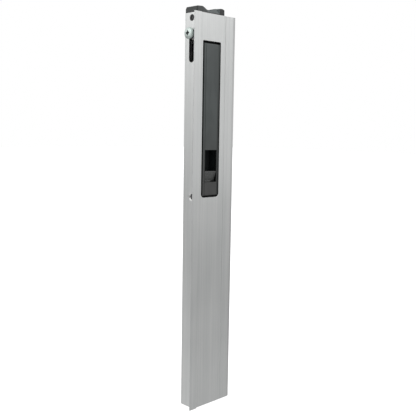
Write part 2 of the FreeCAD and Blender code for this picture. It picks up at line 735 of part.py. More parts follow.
def make_friction_spring():
    """Bowed leaf that rubs on the box's back wall and holds the bolt where it's left."""
    body = new_body("friction_spring")
    low, tab, thickness = dim.spring_low, dim.spring_tab, dim.spring_thk
    face = dim.spring_floor + dim.spring_gap
    steps = 18
    bow = []  # front face: (y, z)
    for k in range(steps + 1):
        part = k / steps
        bulge = 0.5 * (1 - math.cos(2 * math.pi * part))
        bow.append((face + dim.spring_rise * bulge,
                    low + tab + (dim.spring_high - low - tab) * part))
    rear = [(y + thickness, z) for y, z in reversed(bow)]
    sketch = sketch_on(body, "leaf_profile", "YZ_Plane", -dim.spring_half)
    polygon(sketch, [(face, low)] + bow + rear + [(face + thickness, low)])
    pad(body, sketch, dim.spring_half * 2)
    sketch = sketch_on(body, "leaf_hole", "XZ_Plane", -(dim.spring_floor - OVER))
    circle(sketch, 0, dim.spring_rivet_height, 0.9)
    pocket(body, sketch, 3.0)
    return body


def make_spring_rivet():
    shank = 2.0
    return turned("spring_rivet", [
        (0, 0), (0.5, 0), (0.8, 0.3), (0.8, shank), (1.6, shank), (1.45, 2.45),
        (0.9, 2.75), (0, 2.85),
    ], y=dim.spring_floor + 2 * dim.spring_gap + dim.spring_thk - shank,
        z=dim.spring_rivet_height, turn=TO_BACK)


# ---------------------------------------------------------------- rod, nut, bolt and pin
def cross_hole(body, name):
    """Hole for the tip pin, right across a turned body along X."""
    reach = dim.bolt_dia / 2 + OVER
    sketch = sketch_on(body, name, "YZ_Plane", -reach)
    circle(sketch, 0, dim.tip_pin_height, dim.tip_pin_dia / 2 + 0.01)
    pocket(body, sketch, 2 * reach, reverse=True)


def make_rod():
    low, shoulder, top = dim.rod_low, dim.rod_shoulder, dim.rod_top
    radius, crest = dim.rod_dia / 2, dim.rod_thread_dia / 2
    grooves = thread(crest, crest - 0.22, first=1.2, last=16.0, pitch=0.8,
                     flanks=(0, 0.3, 0.42, 0.72))
    body = turned(
        "bolt_rod",
        [(0, low), (crest - 0.5, low), (crest, low + 0.5)]
        + [(x, low + z) for x, z in grooves]
        + [(crest, shoulder), (radius - 0.3, shoulder), (radius, shoulder + 0.3),
           (radius, top - 0.5), (radius - 0.5, top), (0, top)],
        y=dim.axis_depth)
    cross_hole(body, "rod_cross_hole")
    return body


def make_lock_nut():
    """Hexagonal nut on the rod, just above the carriage."""
    body = new_body("rod_lock_nut")
    flat, thickness = dim.lock_nut_half, dim.lock_nut_thk
    corner = flat / math.cos(math.pi / 6)
    angles = [math.radians(60 * k) for k in range(6)]
    sketch = sketch_on(body, "nut_hex", "XY_Plane")
    polygon(sketch, [(corner * math.cos(a), corner * math.sin(a)) for a in angles])
    circle(sketch, 0, 0, dim.rod_thread_dia / 2 + 0.02)
    pad(body, sketch, thickness)
    sketch = sketch_on(body, "nut_chamfers", "XZ_Plane")
    for face, inward in ((0, 1), (thickness, -1)):
        outside = face - 0.1 * inward
        polygon(sketch, [
            (flat, outside), (corner + 0.5, outside),
            (corner + 0.5, face + 0.45 * inward), (flat, face),
        ])
    revolve(body, sketch, "Groove")
    place(body, 0, dim.axis_depth, dim.car_high + 0.05)
    return body


def make_bolt():
    """Round-nosed bolt, bored from below to sit on the rod."""
    radius, bore = dim.bolt_dia / 2, dim.rod_dia / 2 + 0.02
    top, nose = dim.bolt_top, dim.nose_len
    low = top - dim.bolt_length
    body = turned("bolt_tip", [
        (bore, low), (radius - 0.4, low), (radius, low + 0.4), (radius, top - nose),
        (radius - 0.35, top - nose * 0.62), (radius - 0.95, top - nose * 0.25),
        (radius - 1.7, top - 0.06), (radius - 2.2, top), (0, top),
        (0, dim.rod_top + 0.9), (bore, dim.rod_top + 0.2),
    ], y=dim.axis_depth)
    cross_hole(body, "bolt_cross_hole")
    return body


def make_tip_pin():
    """Hollow pin through the bolt and rod."""
    return turned("tip_pin", [
        (0.8, -3.75), (1.2, -3.75), (1.5, -3.4), (1.5, 3.4), (1.2, 3.75), (0.8, 3.75),
    ], y=dim.axis_depth, z=dim.tip_pin_height, turn=TO_RIGHT)


# ---------------------------------------------------------------- adjusting screw group
def make_adjusting_screw():
    """Pan-head cross-recess screw in the side slot.

    Its head stands off the wall, ready to take a bracket or a channel wall under it.
    """
    head, high, radius = dim.head_dia / 2, dim.head_high, dim.screw_dia / 2
    tip = -(dim.half_width - dim.screw_end) - dim.stand_off
    crest = radius - 0.02
    grooves = thread(crest, radius - 0.3, first=-1.9, last=tip.value + 0.9, pitch=-1.06,
                     flanks=(0, -0.38, -0.5, -0.88))
    dome = []
    for degrees in (90, 82, 72, 60, 48, 36, 24, 12):
        angle = math.radians(degrees)
        dome.append((head * math.sin(angle) ** 0.72,
                     high * (0.38 + 0.62 * math.cos(angle) ** 0.8)))
    body = turned(
        "adjusting_screw",
        [(0, tip), (radius - 0.7, tip), (radius - 0.3, tip + 0.4)] + grooves[::-1]
        + [(crest, -0.6), (crest, 0.01), (head - 0.35, 0.01), (head, 0.3)]
        + dome + [(0, high)],
        x=-dim.half_width - dim.stand_off, y=dim.axis_depth, z=dim.screw_height,
        turn=TO_LEFT)

    corner, arm = 0.62, 1.85  # the cross's inner corners and the reach of its arms
    side = corner * 0.8
    sketch = sketch_on(body, "screw_recess", "XY_Plane", high + OVER)
    polygon(sketch, [
        (corner, corner), (arm, side), (arm, -side),
        (corner, -corner), (side, -arm), (-side, -arm),
        (-corner, -corner), (-arm, -side), (-arm, side),
        (-corner, corner), (-side, arm), (side, arm),
    ])
    pocket(body, sketch, OVER + 1.8)
    sketch = sketch_on(body, "screw_recess_core", "XZ_Plane")
    polygon(sketch, [(0, high + 0.2), (1.35, high + 0.2), (0.55, high - 2.0), (0, high - 2.2)])
    revolve(body, sketch, "Groove")
    return body


def place_behind_wall(body, distance):
    """Faces a part left, its origin this far inside the left wall, on the screw's axis."""
    place(body, -(dim.half_width - dim.wall_thk) + distance, dim.axis_depth,
          dim.screw_height, TO_LEFT)


def make_washer():
    """Lock washer with teeth round its bore."""
    body = new_body("lock_washer")
    sketch = sketch_on(body, "washer_ring", "XY_Plane")
    circle(sketch, 0, 0, dim.washer_outer / 2)
    circle(sketch, 0, 0, dim.washer_bore / 2)
    pad(body, sketch, dim.washer_thk)
    sketch = sketch_on(body, "washer_tooth", "XY_Plane")
    polygon(sketch, [(2.62, -0.32), (2.62, 0.32), (3.6, 0.75), (3.6, -0.75)])
    tooth = pad(body, sketch, dim.washer_thk)
    repeat(body, "PolarPattern", "washer_teeth", tooth, 10,
           Axis=(origin(body, "Z_Axis"), [""]), Angle=360.0)
    place_behind_wall(body, dim.washer_thk + 0.03)
    return body


def make_slide_nut():
    """Square nut inside the washer."""
    body = new_body("slide_nut")
    half = dim.nut_side / 2
    sketch = sketch_on(body, "nut_square", "XY_Plane")
    rectangle(sketch, -half, -half, half, half)
    circle(sketch, 0, 0, dim.nut_bore / 2)
    pad(body, sketch, dim.nut_thk)
    dress(body, "Chamfer", dim.nut_corner, lambda edge: along(edge, "z"), "nut_corners")
    place_behind_wall(body, dim.washer_thk + dim.nut_thk + 0.05)
    return body


# ---------------------------------------------------------------- build and export
parts = [make() for make in (
    make_housing, make_end_cap, make_bushing, make_cap_rivet, make_cap_rivet_pin,
    make_escutcheon, make_rod_guide, make_guide_screws,
    make_thumb_slide, make_carriage, make_thumb_screws, make_friction_spring,
    make_spring_rivet, make_rod, make_lock_nut, make_bolt, make_tip_pin,
    make_adjusting_screw, make_washer, make_slide_nut,
)]
doc.recompute()
for item in doc.Objects:
    if any(state in ("Invalid", "Error") for state in item.State):
        raise RuntimeError(f"{item.Name} is {item.State}")
os.makedirs("parts", exist_ok=True)
for part in parts:
    shape = part.Shape
    if shape.isNull() or not shape.isValid() or not shape.Solids:
        raise RuntimeError(part.Label + " has a bad shape")
    shape.exportStep(f"parts/{part.Label}.step")
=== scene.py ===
"""Slide bolt in an anodised aluminium housing: materials, camera and white studio.

The housing stands upright along +Z from z = 0. Its front faces -Y, its left wall -X, and the end cap
is at the top. Sizes on the parts are in millimetres; camera, floor and lamps are in metres.
"""

from functools import cached_property, reduce

import bmesh
import bpy
from mathutils import Matrix, Vector

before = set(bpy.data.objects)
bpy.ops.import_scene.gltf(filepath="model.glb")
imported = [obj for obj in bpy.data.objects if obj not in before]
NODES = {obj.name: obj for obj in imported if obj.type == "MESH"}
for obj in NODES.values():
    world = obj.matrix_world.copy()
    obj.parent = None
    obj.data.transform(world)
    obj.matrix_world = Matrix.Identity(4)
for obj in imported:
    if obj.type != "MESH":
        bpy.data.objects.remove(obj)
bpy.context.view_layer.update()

# ---------------------------------------------------------------- sizes on the parts, mm
MM_PER_M = 1000.0
BAR_LENGTH = 305.0
INNER_X = 12.91             # inner faces of the side walls lie at +-x
INNER_Y = 1.79              # inner face of the front wall
WINDOW_X = 9.45             # half width of the front window
AXIS_Y = 7.1                # depth of the plane holding the bolt's and the side screw's axes
SCREW_Z = 289.4             # height of the side screw
SAW_CENTRE = (-104.0, 58.0) # x, y of the centre of the saw arcs on the cut ends


# ---------------------------------------------------------------- node-graph helper
class Graph:
    """Builds a node tree. A number, a tuple or an output socket can feed any input."""

    def __init__(self, owner):
        self.owner = owner
        owner.use_nodes = True
        self.tree = owner.node_tree
        self.tree.nodes.clear()

    def put(self, value, socket):
        if isinstance(value, bpy.types.NodeSocket):
            self.tree.links.new(value, socket)
        elif isinstance(value, (tuple, list)) and socket.type == "RGBA" and len(value) == 3:
            socket.default_value = (*value, 1.0)
        else:
            socket.default_value = value

    def node(self, kind, inputs=None, **props):
        """Adds a node; inputs maps socket names or indices to what feeds them."""
        node = self.tree.nodes.new(kind)
        for key, value in props.items():
            setattr(node, key, value)
        for key, value in (inputs or {}).items():
            self.put(value, node.inputs[key])
        return node

    def output(self, shader, kind="ShaderNodeOutputMaterial"):
        self.node(kind, {"Surface": shader})

    def math(self, operation, *values):
        return self.node("ShaderNodeMath", dict(enumerate(values)), operation=operation).outputs[0]

    def add(self, a, b):
        return self.math("ADD", a, b)

    def minus(self, a, b):
        return self.math("SUBTRACT", a, b)

    def times(self, a, b):
        return self.math("MULTIPLY", a, b)

    def swing(self, value, spread, offset=None):
        """A 0..1 value scaled to the spread, centred on 0 unless an offset is given."""
        return self.math("MULTIPLY_ADD", value, spread, -spread / 2 if offset is None else offset)

    def length(self, a, b):
        return self.math("SQRT", self.add(self.times(a, a), self.times(b, b)))

    def mix(self, mask, off, on):
        """Colour: off where the mask is 0, on where it is 1."""
        return self.node("ShaderNodeMix", {0: mask, 6: off, 7: on}, data_type="RGBA").outputs[2]

    def blend(self, mask, off, on):
        """The same for a plain number."""
        return self.node("ShaderNodeMix", {0: mask, 2: off, 3: on}, data_type="FLOAT").outputs[0]

    def cover(self, base, colour, mask, amount):
        """Lays a colour over the base, at most to the given amount."""
        return self.mix(self.times(mask, amount), base, colour)

    def ramp(self, value, lo, hi, out_lo=0.0, out_hi=1.0, kind="SMOOTHSTEP"):
        return self.node("ShaderNodeMapRange", {0: value, 1: lo, 2: hi, 3: out_lo, 4: out_hi},
                         interpolation_type=kind).outputs[0]

    def tint(self, pattern, dark, pale, lo=0.3, hi=0.7):
        """From dark to pale as the pattern goes from lo to hi."""
        return self.mix(self.ramp(pattern, lo, hi), dark, pale)

    def curve(self, value, stops, interpolation="EASE"):
        """A smooth factor along a value, through (position, factor) stops."""
        node = self.node("ShaderNodeValToRGB", {0: value})
        ramp = node.color_ramp
        ramp.interpolation = interpolation
        while len(ramp.elements) < len(stops):
            ramp.elements.new(0.5)
        for element, (position, factor) in zip(ramp.elements, stops):
            element.position = position
            element.color = (factor, factor, factor, 1)
        return node.outputs[0]

    def scale(self, vector, factor):
        return self.node("ShaderNodeVectorMath", {0: vector, 3: factor},
                         operation="SCALE").outputs[0]

    def split(self, vector):
        return self.node("ShaderNodeSeparateXYZ", {0: vector}).outputs[:3]

    def join(self, x, y, z):
        return self.node("ShaderNodeCombineXYZ", {0: x, 1: y, 2: z}).outputs[0]

    @cached_property
    def place(self):
        """Position on the part in millimetres."""
        return self.scale(self.node("ShaderNodeTexCoord").outputs["Object"], MM_PER_M)

    @cached_property
    def axes(self):
        """The place as x, y and z."""
        return self.split(self.place)

    def true_normal(self):
        """The face normal in the part's own axes, as x, y and z."""
        normal = self.node("ShaderNodeNewGeometry").outputs["True Normal"]
        turn = self.node("ShaderNodeVectorTransform", {0: normal}, vector_type="NORMAL",
                         convert_from="WORLD", convert_to="OBJECT")
        return self.split(turn.outputs[0])

    def noise(self, scale=1.0, detail=3.0, rough=0.5, distort=0.0, stretch=None,
              shift=(0, 0, 0), at=None):
        """Noise at the place on the part, stretched if asked, or at another vector."""
        if stretch is not None:
            at = self.node("ShaderNodeMapping", {"Vector": self.place, "Scale": stretch,
                                                 "Location": shift}).outputs[0]
        elif at is None:
            at = self.place
        return self.node("ShaderNodeTexNoise", {
            "Vector": at, "Scale": scale, "Detail": detail, "Roughness": rough,
            "Distortion": distort}).outputs[0]

    def cells(self, scale):
        return self.node("ShaderNodeTexVoronoi", {"Vector": self.place, "Scale": scale},
                         feature="F1").outputs[0]

    def rounded(self, radius_mm, samples):
        """The normal rolled round the edges."""
        return self.node("ShaderNodeBevel", {"Radius": radius_mm / MM_PER_M},
                         samples=samples).outputs[0]

    def edge(self, radius_mm, lo=0.02, hi=0.22):
        """1 on convex and concave arrises, fading to 0 over radius_mm."""
        normal = self.node("ShaderNodeNewGeometry").outputs["Normal"]
        dot = self.node("ShaderNodeVectorMath", {0: self.rounded(radius_mm, samples=6), 1: normal},
                        operation="DOT_PRODUCT")
        return self.ramp(self.minus(1.0, dot.outputs["Value"]), lo, hi)

    def within(self, *spans):
        """1 where every given coordinate lies between its two limits."""
        return reduce(self.times, [
            self.times(self.math("GREATER_THAN", value, lo), self.math("LESS_THAN", value, hi))
            for value, lo, hi in spans])

    def soft_box(self, spans):
        """1 inside a box given as (from, to, blur) along x, y and z."""
        return reduce(self.times, [
            self.times(self.ramp(value, lo - blur, lo + blur),
                       self.ramp(value, hi + blur, hi - blur))
            for value, (lo, hi, blur) in zip(self.axes, spans)])

    def bump(self, height, depth_mm, normal=None):
        inputs = {"Distance": depth_mm / MM_PER_M, "Height": height}
        if normal is not None:
            inputs["Normal"] = normal
        return self.node("ShaderNodeBump", inputs).outputs[0]

    def surface(self, **inputs):
        named = {key.replace("_", " "): value for key, value in inputs.items()}
        self.output(self.node("ShaderNodeBsdfPrincipled", named).outputs[0])
        return self.owner


def material_graph(name):
    return Graph(bpy.data.materials.new(name))


# ---------------------------------------------------------------- materials
# Painted light and shade along the bar: (height / bar length, brightness factor)
FRONT_SHADE_ALONG_BAR = [
    (0.0, 1.02), (0.08, 1.03), (0.19, 0.98), (0.30, 0.925), (0.40, 0.93), (0.51, 0.95),
    (0.615, 1.035), (0.715, 1.04), (0.79, 1.02), (0.865, 0.98), (0.98, 0.94)]
LEFT_SHADE_ALONG_BAR = [
    (0.0, 1.03), (0.08, 1.025), (0.19, 1.0), (0.30, 1.02), (0.40, 0.97), (0.51, 0.95),
    (0.615, 0.975), (0.715, 1.0), (0.79, 0.98), (0.865, 1.02), (0.98, 1.10)]


def anodised_aluminium():
    """Satin clear-anodised extrusion: lengthwise die lines and tone bands, etched grain,
    paler rubbed arrises, raw saw-cut ends."""
    g = material_graph("anodised_aluminium")
    x, y, z = g.axes
    normal_x, normal_y, normal_z = g.true_normal()
    bands = g.noise(stretch=(0.42, 0.42, 0.0035), rough=0.55)
    lines = g.noise(stretch=(2.3, 2.3, 0.012), shift=(7, 3, 1), detail=2.5, rough=0.6)
    grain = g.noise(stretch=(5.0, 5.0, 2.6), shift=(1, 9, 4), detail=2.0, rough=0.6)
    cloud = g.noise(stretch=(0.05, 0.05, 0.022), shift=(3, 1, 5))
    worn = g.noise(stretch=(0.5, 0.5, 0.09), shift=(2, 8, 3), detail=4.0, rough=0.65)
    rub = g.times(g.edge(radius_mm=0.45), g.ramp(worn, lo=0.35, hi=0.68))
    # end faces, with shallow saw arcs centred far to the left
    cut = g.math("GREATER_THAN", g.math("ABSOLUTE", normal_z), 0.8)
    arc = g.length(g.minus(x, SAW_CENTRE[0]), g.minus(y, SAW_CENTRE[1]))
    saw = g.noise(at=g.join(g.times(arc, 3.1), 0.0, g.times(z, 0.05)), rough=0.65)

    # places on the bar
    window = g.within((y, 0.08, INNER_Y), (x, -WINDOW_X, WINDOW_X), (z, 166.0, 285.2))
    side_slot = g.within((x, -14.47, -12.93), (y, 4.2, 10.0), (z, 268.0, 294.0))
    punched = g.math("MAXIMUM", window, side_slot)
    inside = g.within((x, -INNER_X, INNER_X), (y, INNER_Y, 12.41))
    side_hole = g.within((x, -14.49, -13.58), (y, 1.2, 8.6), (z, 163.6, 171.0))
    bare = g.times(side_hole, g.ramp(z, lo=168.0, hi=166.4))
    by_slot, by_hole = [g.within((x, -INNER_X, 2.0), (y, 2.0, 12.45), (z, *heights))
                        for heights in ((262.0, 296.5), (158.0, 175.0))]
    bright = g.math("MAXIMUM", by_slot, by_hole)

    tone = g.add(g.add(g.swing(bands, spread=0.20), g.swing(lines, spread=0.24)),
                 g.swing(cloud, spread=0.12))
    base = g.mix(g.ramp(tone, lo=-0.08, hi=0.08, kind="LINEAR"),
                 (0.655, 0.672, 0.668), (0.775, 0.782, 0.776))
    base = g.cover(base, (0.88, 0.885, 0.885), rub, amount=0.55)
    sawn = g.tint(saw, (0.62, 0.63, 0.64), (0.86, 0.865, 0.87), lo=0.35, hi=0.65)
    base = g.mix(cut, base, sawn)
    # the lower side of the side hole is bare metal, painted paler as a highlight; the punched walls
    # are painted dark as shade
    base = g.mix(bare, base, (0.85, 0.85, 0.84))
    base = g.mix(punched, base, g.mix(grain, (0.06, 0.063, 0.064), (0.13, 0.134, 0.135)))
    # painted shade: the tube's inner walls are painted darker
    base = g.mix(g.times(inside, g.minus(1.0, cut)), base,
                 g.mix(lines, (0.30, 0.305, 0.31), (0.42, 0.425, 0.43)))
    # painted light: the inner walls by the slot and the side hole are painted near white
    base = g.mix(bright, base, (0.90, 0.91, 0.91))
    # painted light and shade along the bar, different on the front and on the left wall
    along = g.math("DIVIDE", z, BAR_LENGTH)
    left = g.blend(g.math("LESS_THAN", normal_x, -0.5), off=1.0, on=g.curve(along, LEFT_SHADE_ALONG_BAR))
    shade_along_bar = g.blend(g.math("LESS_THAN", normal_y, -0.5), left, g.curve(along, FRONT_SHADE_ALONG_BAR))
    base = g.scale(base, shade_along_bar)

    rough = g.add(0.40, g.add(g.swing(lines, spread=0.10), g.swing(cloud, spread=0.12)))
    rough = g.minus(rough, g.times(rub, 0.12))
    rough = g.blend(cut, rough, on=0.34)
    rough = g.blend(bare, rough, on=0.22)
    rough = g.blend(punched, rough, on=0.55)
    height = g.add(g.times(lines, 0.7), g.times(grain, 0.35))
    height = g.blend(cut, height, g.times(saw, 2.2))
    return g.surface(Base_Color=base, Metallic=0.88, Roughness=rough,
                     Normal=g.bump(height, depth_mm=0.012))


def moulded(name, dark, pale, rough_at, grain_mm=0.34, depth_mm=0.014, gloss=0.5, shade_depth=None,
            dull_shaded_from=None, speckle=0.0, lower_shade=None, light_and_shade_zones=(), round_mm=0.0):
    """Moulded plastic with a spark-eroded texture, faint flow clouds and edges rubbed smoother
    and paler.

    shade_depth: y where the painted shade on the inner walls begins and is full; dull_shaded_from: x
    from which the colour is painted darker as shade, less so towards the top, and the gloss is
    lower; lower_shade: z where the painted shade on the lower end is full and where it ends;
    speckle: its strength; light_and_shade_zones: patches of painted light and shade, as (soft box,
    colour, gloss); round_mm: edge radius.
    """
    g = material_graph(name)
    frequency = 1.0 / grain_mm
    skin = g.noise(scale=frequency, rough=0.6)
    pits = g.cells(frequency * 0.8)
    flow = g.noise(stretch=(0.11, 0.11, 0.045), shift=(4, 2, 6), detail=4.0, rough=0.55,
                   distort=0.6)
    rub = g.times(g.edge(radius_mm=0.32, lo=0.03, hi=0.25),
                  g.ramp(g.noise(scale=0.55, rough=0.6), lo=0.3, hi=0.7))

    def clouded(low, high):
        return g.tint(flow, low, high, lo=0.32, hi=0.68)

    base = clouded(dark, pale)
    # painted shade: towards the lower end the colour goes to a darker grey
    if lower_shade is not None:
        full, end = lower_shade
        base = g.mix(g.ramp(g.axes[2], end, full), base,
                     clouded((0.028, 0.029, 0.028), (0.040, 0.041, 0.040)))
    if speckle:
        dots = g.ramp(g.noise(scale=1.1, detail=2.0, rough=0.7), lo=0.36, hi=0.64)
        base = g.cover(base, (0.02, 0.021, 0.021), dots, speckle)
        pale_dots = g.noise(scale=1.2, detail=2.0, rough=0.7, stretch=(1, 1, 1), shift=(9, 5, 2))
        base = g.cover(base, (0.20, 0.205, 0.20), g.ramp(pale_dots, lo=0.50, hi=0.70), speckle)
    base = g.cover(base, (0.11, 0.125, 0.125), rub, amount=0.6)
    rough = g.add(rough_at, g.swing(skin, spread=0.16))
    rough = g.minus(rough, g.times(rub, 0.14))
    if dull_shaded_from is not None:
        # painted shade: from this x on the colour is darker, lightening towards the top, and the
        # gloss is lower
        side = g.math("GREATER_THAN", g.axes[0], dull_shaded_from)
        shaded_side_colour = g.mix(skin, (0.018, 0.023, 0.022), (0.034, 0.040, 0.039))
        side_shade_by_height = g.ramp(g.axes[2], lo=215.0, hi=272.0, out_lo=0.55, out_hi=1.7)
        base = g.mix(side, base, g.scale(shaded_side_colour, side_shade_by_height))
        gloss = g.blend(side, gloss, on=0.62)
    # patches of painted light and shade, each with its own gloss
    for spans, colour, zone_gloss in light_and_shade_zones:
        painted_zone = g.soft_box(spans)
        base = g.mix(painted_zone, base, clouded(colour, tuple(c * 1.25 for c in colour)))
        gloss = g.blend(painted_zone, gloss, zone_gloss)
    if shade_depth is not None:
        # painted shade: the inner walls are painted almost black, and made rough and dull, except on
        # upward faces left of x = 3.2
        ledge = g.times(g.math("GREATER_THAN", g.true_normal()[2], 0.7),
                        g.math("LESS_THAN", g.axes[0], 3.2))
        inner = g.times(g.ramp(g.axes[1], *shade_depth), g.minus(1.0, ledge))
        base = g.mix(inner, base, (0.007, 0.0075, 0.0075))
        rough = g.blend(inner, rough, on=0.75)
        gloss = g.blend(inner, gloss, on=0.12)
    height = g.add(g.times(skin, 0.7), g.times(pits, 0.4))
    soft = g.rounded(round_mm, samples=8) if round_mm else None
    return g.surface(Base_Color=base, Metallic=0.0, Roughness=rough, IOR=1.5,
                     Specular_IOR_Level=gloss, Normal=g.bump(height, depth_mm, soft))


def zinc():
    """Bright zinc plate: blue-green passivated, slightly mottled, thin bright rims."""
    g = material_graph("zinc_plated_steel")
    x, y, z = g.axes
    mottle = g.noise(scale=0.9, detail=4.0, rough=0.6)
    spangle = g.cells(scale=2.6)
    base = g.tint(mottle, (0.60, 0.69, 0.66), (0.73, 0.80, 0.77))
    base = g.cover(base, (0.80, 0.83, 0.82), g.edge(radius_mm=0.18, lo=0.04, hi=0.3), amount=0.5)
    # the driver recess of the side screw: painted shade in the bottom of the cross
    rise = g.minus(z, SCREW_Z)
    radius = g.length(g.minus(y, AXIS_Y), rise)
    recess = g.times(g.within((radius, -1.0, 2.1), (x, -22.0, -14.0)),
                     g.ramp(x, lo=-18.8, hi=-18.1))
    base = g.mix(recess, base, (0.30, 0.31, 0.315))
    # painted shade on the head's lower rim
    rim = g.times(g.within((x, -22.0, -16.0), (radius, 2.4, 5.0)), g.ramp(rise, lo=-1.2, hi=-3.6))
    base = g.cover(base, (0.30, 0.33, 0.32), rim, amount=0.55)
    # painted shade on what sits inside the wall of the side slot
    in_wall = g.within((x, -16.5, -9.2), (y, 4.0, 12.2))
    base = g.cover(base, (0.03, 0.031, 0.032), in_wall, amount=0.9)
    rough = g.add(0.42, g.swing(spangle, spread=0.14, offset=-0.05))
    height = g.add(mottle, g.times(spangle, 0.5))
    return g.surface(Base_Color=base, Metallic=1.0, Roughness=rough,
                     Normal=g.bump(height, depth_mm=0.01))


def turned_steel(name, axis, centre, dark, pale, rough_at, ring=3.4):
    """Lathe-turned metal: tool rings across the axis on the barrel and concentric on the ends.
    The centre is given along the two other axes; ring is the rings' frequency per mm."""
    g = material_graph(name)
    across = [g.axes[i] for i in range(3) if i != axis]
    radius = g.length(g.minus(across[0], centre[0]), g.minus(across[1], centre[1]))
    travel = g.add(radius, g.axes[axis])
    rings = g.noise(at=g.join(g.times(travel, ring), 0.0, 0.0), rough=0.7)
    stain = g.noise(scale=0.35, detail=4.0, rough=0.6)
    base = g.tint(g.add(g.times(rings, 0.45), g.times(stain, 0.55)), dark, pale)
    base = g.cover(base, tuple(min(1.0, c * 1.25) for c in pale),
                   g.edge(radius_mm=0.2, lo=0.04, hi=0.3), amount=0.4)
    rough = g.add(rough_at, g.swing(stain, spread=0.16))
    return g.surface(Base_Color=base, Metallic=1.0, Roughness=rough,
                     Normal=g.bump(rings, depth_mm=0.012))


def spring_strip():
    """Tempered strip: rolled grain and a straw to blue heat tint."""
    g = material_graph("spring_steel")
    roll = g.noise(stretch=(3.0, 3.0, 0.12), rough=0.6)
    base = g.tint(g.noise(scale=0.16), (0.23, 0.25, 0.31), (0.40, 0.36, 0.29), lo=0.35, hi=0.65)
    base = g.cover(base, (0.6, 0.6, 0.6), g.edge(radius_mm=0.15, lo=0.04, hi=0.3), amount=0.5)
    rough = g.add(0.30, g.swing(roll, spread=0.18))
    return g.surface(Base_Color=base, Metallic=1.0, Roughness=rough,
                     Normal=g.bump(roll, depth_mm=0.01))


def bronze():
    """Sintered bronze: open pores and an oily brown tone."""
    g = material_graph("bronze")
    solid = g.ramp(g.cells(scale=3.4), lo=0.06, hi=0.24)
    base = g.tint(g.noise(scale=0.7, detail=4.0, rough=0.6), (0.40, 0.26, 0.13), (0.62, 0.44, 0.25))
    base = g.mix(solid, (0.12, 0.08, 0.045), base)
    return g.surface(Base_Color=base, Metallic=0.92, Roughness=g.blend(solid, off=0.7, on=0.38),
                     Normal=g.bump(solid, depth_mm=0.03))


def acetal():
    """Natural acetal: waxy off-white with faint moulding flow."""
    g = material_graph("white_acetal")
    flow = g.noise(stretch=(0.25, 0.25, 0.1), detail=4.0, distort=0.5)
    skin = g.noise(scale=2.6, detail=2.0)
    return g.surface(Base_Color=g.tint(flow, (0.74, 0.73, 0.69), (0.84, 0.835, 0.80)), Metallic=0.0,
                     Roughness=g.add(0.36, g.swing(skin, spread=0.14)),
                     Normal=g.bump(skin, depth_mm=0.008))


# Patches of painted light and shade, each with its own gloss: ((from, to, blur) along x, y and z),
# colour, gloss
# on the cap: a painted light patch in the valley, a thin painted highlight and a painted shade block
# on the right lobe
CAP_LIGHT_AND_SHADE = (
    (((-3.4, 9.2, 0.3), (1.6, 4.2, 0.1), (305.9, 312.0, 0.25)), (0.060, 0.078, 0.078), 0.75),
    (((8.35, 8.85, 0.1), (2.0, 4.2, 0.1), (306.1, 312.0, 0.1)), (0.150, 0.185, 0.185), 0.85),
    (((9.4, 14.8, 0.2), (1.0, 4.2, 0.1), (304.0, 312.0, 0.1)), (0.008, 0.009, 0.009), 0.58))
# on the thumb slide: painted light along the pad's lower edge, against the shade there
THUMB_PAINTED_LIGHT = (
    (((-7.0, 2.9, 0.5), (-1.0, 3.6, 0.1), (178.0, 179.7, 0.5)), (0.19, 0.195, 0.19), 1.0),)

ALU = anodised_aluminium()
BLACK = moulded("black_plastic", dark=(0.024, 0.029, 0.028), pale=(0.036, 0.042, 0.041),
                rough_at=0.35, gloss=0.72, round_mm=0.55, light_and_shade_zones=CAP_LIGHT_AND_SHADE)
BLACK_THUMB = moulded("black_plastic_thumb", dark=(0.072, 0.076, 0.074),
                      pale=(0.094, 0.098, 0.096), rough_at=0.46, gloss=0.8, speckle=0.5,
                      light_and_shade_zones=THUMB_PAINTED_LIGHT)
BLACK_INSERT = moulded("black_plastic_insert", dark=(0.036, 0.047, 0.046),
                       pale=(0.052, 0.064, 0.063), rough_at=0.44, gloss=0.85, shade_depth=(0.42, 0.62),
                       dull_shaded_from=6.68, lower_shade=(175.0, 235.0))
BLACK_WELL = moulded("black_plastic_well", dark=(0.011, 0.014, 0.014),
                     pale=(0.016, 0.020, 0.020), rough_at=0.62, gloss=0.3)
NYLON = moulded("black_nylon", dark=(0.022, 0.023, 0.024), pale=(0.034, 0.036, 0.037),
                rough_at=0.34, grain_mm=0.5, depth_mm=0.006)
ZINC = zinc()
STEEL = turned_steel("bright_steel", axis=2, centre=(0.0, AXIS_Y), dark=(0.44, 0.45, 0.46),
                     pale=(0.66, 0.665, 0.67), rough_at=0.24)
PIN = turned_steel("bright_steel_pin", axis=0, centre=(AXIS_Y, 301.0),
                   dark=(0.10, 0.102, 0.104), pale=(0.18, 0.182, 0.185), rough_at=0.42, ring=4.5)
OXIDE = turned_steel("black_oxide_steel", axis=0, centre=(AXIS_Y, 278.0),
                     dark=(0.030, 0.031, 0.033), pale=(0.055, 0.056, 0.058), rough_at=0.40,
                     ring=3.0)
SPRING = spring_strip()
BRONZE = bronze()
ACETAL = acetal()

FINISH = {
    "housing": ALU, "end_cap": BLACK, "escutcheon": BLACK_INSERT, "thumb_slide": BLACK_THUMB,
    "slide_carriage": BLACK_WELL, "cap_rivet": NYLON, "cap_rivet_pin": PIN,
    "bolt_bushing": BRONZE, "rod_guide": ACETAL, "rod_guide_screws": OXIDE,
    "thumb_slide_screws": ZINC, "friction_spring": SPRING, "spring_rivet": STEEL,
    "bolt_rod": STEEL, "rod_lock_nut": ZINC, "bolt_tip": STEEL, "tip_pin": SPRING,
    "adjusting_screw": ZINC, "lock_washer": SPRING, "slide_nut": ZINC,
}
for part, material in FINISH.items():
    mesh = NODES[part].data
    mesh.materials.clear()
    mesh.materials.append(material)
    for polygon in mesh.polygons:
        polygon.material_index = 0

scene = bpy.context.scene

